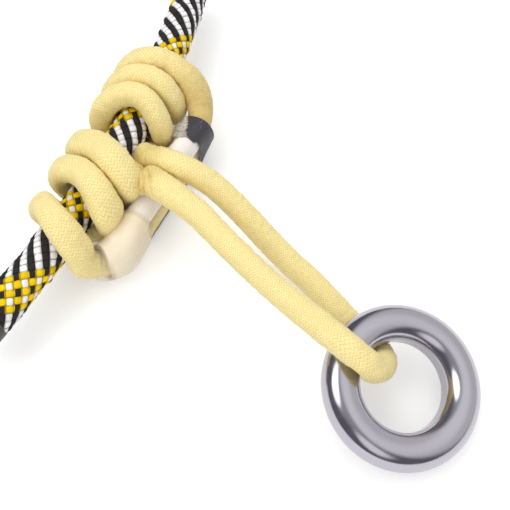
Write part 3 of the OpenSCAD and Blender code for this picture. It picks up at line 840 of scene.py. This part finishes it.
def film_strip(name, up, degrees, low, high, node_name):
    """Thin film along one cord of the splice, between two angles round it, with its lower corners cut round.
    high gives its upper end at each of the two angles."""
    angle = np.radians(np.linspace(*degrees, FILM_POINTS))
    from_edge = FILM_R * np.minimum(angle - angle.min(), angle.max() - angle)
    short = FILM_CORNER - np.minimum(from_edge, FILM_CORNER)
    lowest = low + FILM_CORNER - np.sqrt(FILM_CORNER ** 2 - short ** 2)
    highest = np.linspace(*high, FILM_POINTS)
    along = lowest[None] + (highest - lowest)[None] * np.linspace(0, 1, FILM_POINTS)[:, None]
    ways = np.cos(angle)[:, None] * lean_side + np.sin(angle)[:, None] * upright
    foot = SET_DOWN + np.array([SPLICE_OUT, 0, up])
    co = foot + along[..., None] * lean_way + FILM_R * ways[None]
    strip = mesh_piece(name, co, skin_faces(FILM_POINTS, FILM_POINTS, closed=False))
    give_wall(strip, FILM_WALL)
    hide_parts(node_name)
    return strip


label = film_strip("white_label", upper_up, (-8, 168), -0.0228, (0.0116, 0.0090), "splice_label")
white_film, tree, shader = new_material("white label film", Base_Color=(0.93, 0.91, 0.95, 1), Roughness=0.35)
crease = pattern(tree, "Noise", Scale=90.0, Detail=1.0)
raise_by(tree, shader, crease.outputs["Fac"], strength=0.3, distance=0.0008)
label.data.materials.append(white_film)

# Backing: the label's dark carrier film, folded down the outer face of the lower cord
# and held there by the same sleeve.
backing = film_strip("dark_backing", lower_up, (-80, -10), -0.0225, (0.0092, 0.0092), "splice_backing")
dark_backing, tree, shader = new_material("dark backing film", Base_Color=(0.03, 0.028, 0.036, 1))
grain = pattern(tree, "Noise", Scale=700.0, Detail=2.0)
worn = node(tree, "MapRange", To_Min=0.3, To_Max=0.6)
tree.links.new(grain.outputs["Fac"], worn.inputs["Value"])
tree.links.new(worn.outputs["Result"], shader.inputs["Roughness"])
backing.data.materials.append(dark_backing)

# Stitches: bars of waxed thread in the groove between the two cords,
# sewn through both before the sleeve is shrunk over them.
thread, tree, shader = new_material("waxed thread", Base_Color=(0.80, 0.66, 0.32, 1), Roughness=0.5)
lay = pattern(tree, "Wave", Scale=900.0, bands_direction="Z", Distortion=0.6)
raise_by(tree, shader, lay.outputs["Fac"], strength=0.5, distance=0.0001)
bpy.data.objects["splice_stitching"].data.materials[0] = thread

# Ring: turned from an aluminium bar, with a flat round its eye, then polished and anodised
# a pale grey-lilac. It hangs loose in the bight, with its far side on the table.
RING_EYE_R, RING_BAR_R, RING_R = 0.0129, 0.00545, 0.018
RING_TILT = math.radians(17.2075)
RING_SEGMENTS, BAR_SEGMENTS = 192, 72
ring_middle = bight + RING_R * (math.cos(RING_TILT) * heading - math.sin(RING_TILT) * upright)
bpy.ops.mesh.primitive_torus_add(
    major_radius=RING_R, minor_radius=RING_BAR_R, major_segments=RING_SEGMENTS, minor_segments=BAR_SEGMENTS,
    location=ring_middle.tolist(), rotation=(0, RING_TILT, RING_HEADING),
)
ring = bpy.context.object
ring.name = ring.data.name = "polished_ring"
for vertex in ring.data.vertices:
    from_axis = math.hypot(vertex.co.x, vertex.co.y)
    if from_axis < RING_EYE_R:
        vertex.co.x *= RING_EYE_R / from_axis
        vertex.co.y *= RING_EYE_R / from_axis
bpy.ops.object.transform_apply(location=True, rotation=True, scale=True)
bpy.ops.object.shade_smooth_by_angle(angle=math.radians(12))
anodised, tree, shader = new_material(
    "polished anodised aluminium", Base_Color=(0.465, 0.445, 0.495, 1), Metallic=1.0
)
polish = pattern(tree, "Noise", Scale=320.0, Detail=3.0)
haze = node(tree, "MapRange", From_Min=0.35, From_Max=0.65, To_Min=0.12, To_Max=0.18)
tree.links.new(polish.outputs["Fac"], haze.inputs["Value"])
tree.links.new(haze.outputs["Result"], shader.inputs["Roughness"])
ring.data.materials.append(anodised)
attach(ring, "ring")
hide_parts("ring")

# The bight gives way to the bar, at rest and as the ring swings
RING_SWINGS = np.radians((-20, 0, 55))
PRESSED_R = RING_BAR_R + 0.0002
co = piece_points(tail_cord)
for swing in RING_SWINGS:
    tilt = RING_TILT - swing
    toward = math.cos(tilt) * heading - math.sin(tilt) * upright
    axle = np.cross(toward, sideways)
    from_middle = co - bight - RING_R * toward
    in_plane = from_middle - np.outer(from_middle @ axle, axle)
    bar = bight + RING_R * toward + RING_R * unit(in_plane)
    away = co - bar
    co = bar + away * np.maximum(PRESSED_R / np.linalg.norm(away, axis=1, keepdims=True), 1)
move_points(tail_cord, co)

# Studio: a white table that takes the object's soft shadow, in a pale room with four soft boxes
# for the metal to show, a large lamp from the upper left and a weaker one from the front.
TABLE_SIZE, TABLE_DOWN, TABLE_GLOW = 6, 0.0002, 0.31
bpy.ops.mesh.primitive_plane_add(size=TABLE_SIZE, location=(0, 0, -TABLE_DOWN))
table_top = bpy.context.object
table_top.name = "table_top"
bpy.ops.object.transform_apply(location=True)

# The table looks white to the camera and in reflections, and lights the object as plain paper does
paper, tree, shader = new_material("white paper", Base_Color=(0.8, 0.8, 0.8, 1), Roughness=0.9)
path = node(tree, "LightPath")
seen = node(tree, "Math", operation="MAXIMUM")
seen_through = node(tree, "Math", operation="MAXIMUM")
lift = node(tree, "Math", operation="MULTIPLY")
lift.inputs[1].default_value = TABLE_GLOW
glow = node(tree, "Emission", Color=(1, 1, 1, 1))
both = node(tree, "AddShader")
tree.links.new(path.outputs["Is Camera Ray"], seen.inputs[0])
tree.links.new(path.outputs["Is Glossy Ray"], seen.inputs[1])
tree.links.new(seen.outputs[0], seen_through.inputs[0])
tree.links.new(path.outputs["Is Transmission Ray"], seen_through.inputs[1])
tree.links.new(seen_through.outputs[0], lift.inputs[0])
tree.links.new(lift.outputs[0], glow.inputs["Strength"])
tree.links.new(shader.outputs[0], both.inputs[0])
tree.links.new(glow.outputs[0], both.inputs[1])
tree.links.new(both.outputs[0], tree.nodes["Material Output"].inputs["Surface"])
table_top.data.materials.append(paper)

# Each soft box is a round glow in the room: its compass bearing and height, where it starts to fade
# and where it ends, all in degrees, and its strength
ROOM_GLOW = 0.19
SOFT_BOXES = ((116, 52, 14, 23, 2.4), (-45, 42, 42, 66, 0.60), (201, 32, 8, 22, 1.0), (21, 90, 20, 60, 0.30))
room = bpy.data.worlds.new("studio room")
room.use_nodes = True
scene.world = room
tree = room.node_tree
view = node(tree, "TexCoord")
glow = None
for compass, height, inner, outer, strength in SOFT_BOXES:
    turn, lift_up = math.radians(compass), math.radians(height)
    base = 0.0 if glow else ROOM_GLOW
    toward = node(tree, "VectorMath", operation="DOT_PRODUCT")
    toward.inputs[1].default_value = (
        -math.sin(turn) * math.cos(lift_up), math.cos(turn) * math.cos(lift_up), math.sin(lift_up),
    )
    box = node(
        tree, "MapRange", interpolation_type="SMOOTHSTEP", From_Min=math.cos(math.radians(outer)),
        From_Max=math.cos(math.radians(inner)), To_Min=base, To_Max=strength + base,
    )
    tree.links.new(view.outputs["Generated"], toward.inputs[0])
    tree.links.new(toward.outputs["Value"], box.inputs["Value"])
    if glow:
        total = node(tree, "Math", operation="ADD")
        tree.links.new(glow, total.inputs[0])
        tree.links.new(box.outputs["Result"], total.inputs[1])
        glow = total.outputs[0]
    else:
        glow = box.outputs["Result"]
path = node(tree, "LightPath")
seen = node(tree, "Mix", B=1.0)
tree.links.new(path.outputs["Is Camera Ray"], seen.inputs["Factor"])
tree.links.new(glow, seen.inputs["A"])
tree.links.new(seen.outputs["Result"], tree.nodes["Background"].inputs["Strength"])
lit = node(tree, "MapRange", From_Min=ROOM_GLOW, From_Max=2 * ROOM_GLOW)
tint = node(tree, "Mix", data_type="RGBA", A=(0.88, 0.88, 1.0, 1), B=(1, 1, 1, 1))
tree.links.new(seen.outputs["Result"], lit.inputs["Value"])
tree.links.new(lit.outputs["Result"], tint.inputs["Factor"])
tree.links.new(tint.outputs["Result"], tree.nodes["Background"].inputs["Color"])

# Each lamp has its place, its power in watts and its width
LAMPS = (((-0.5, 0.55, 0.85), 4.3, 0.9), ((0.1, -0.8, 0.45), 3.15, 0.8))
for place, energy, size in LAMPS:
    bpy.ops.object.light_add(type="AREA", location=place)
    lamp = bpy.context.object
    lamp.data.energy = energy
    lamp.data.size = size
    lamp.visible_glossy = False
    lamp.rotation_euler = (-lamp.location).to_track_quat("-Z", "Y").to_euler()
